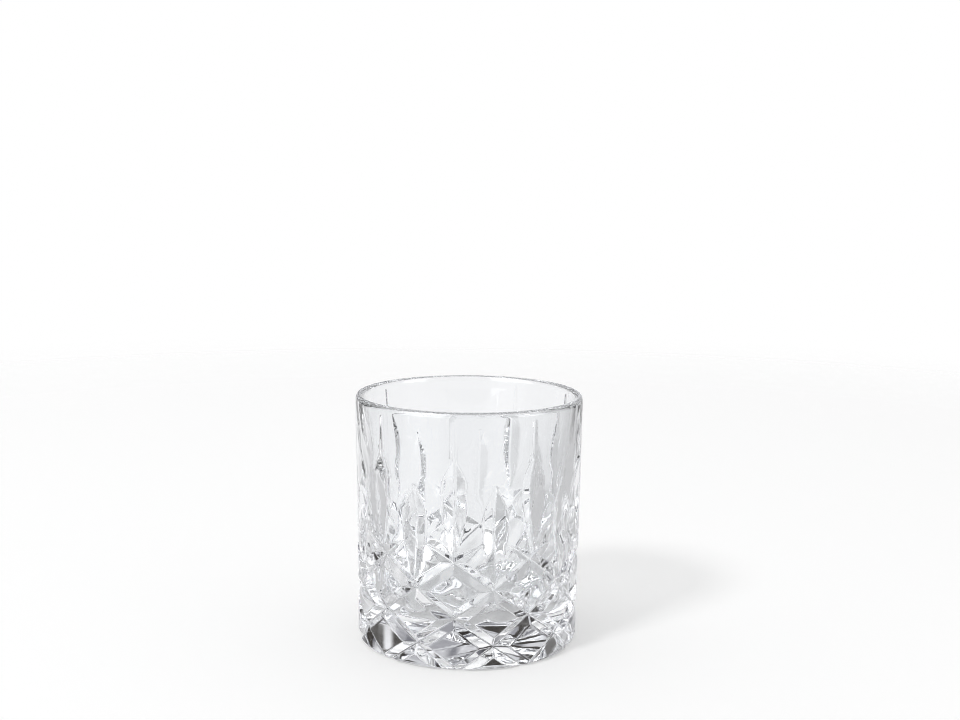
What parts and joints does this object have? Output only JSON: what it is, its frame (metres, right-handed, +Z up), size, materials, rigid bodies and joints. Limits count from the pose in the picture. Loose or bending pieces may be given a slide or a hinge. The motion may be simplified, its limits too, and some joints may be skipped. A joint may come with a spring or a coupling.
{
  "type": "whisky tumbler",
  "caption": "Clear cut-glass whisky tumbler with a heavy base, a diamond lattice of mitre cuts round the lower half, pointed upright flutes above it and a plain rounded rim.",
  "frame": {"origin": "centre of the flat underside that the tumbler stands on", "axes": "+Z up along the axis of revolution, from the underside to the rim; -Y through one of the upper flutes"},
  "size_m": [0.084, 0.084, 0.092],
  "materials": {
    "clear_crystal": "polished clear crystal"
  },
  "bodies": {
    "root": {"tumbler": "clear_crystal"}
  },
  "joints": []
}
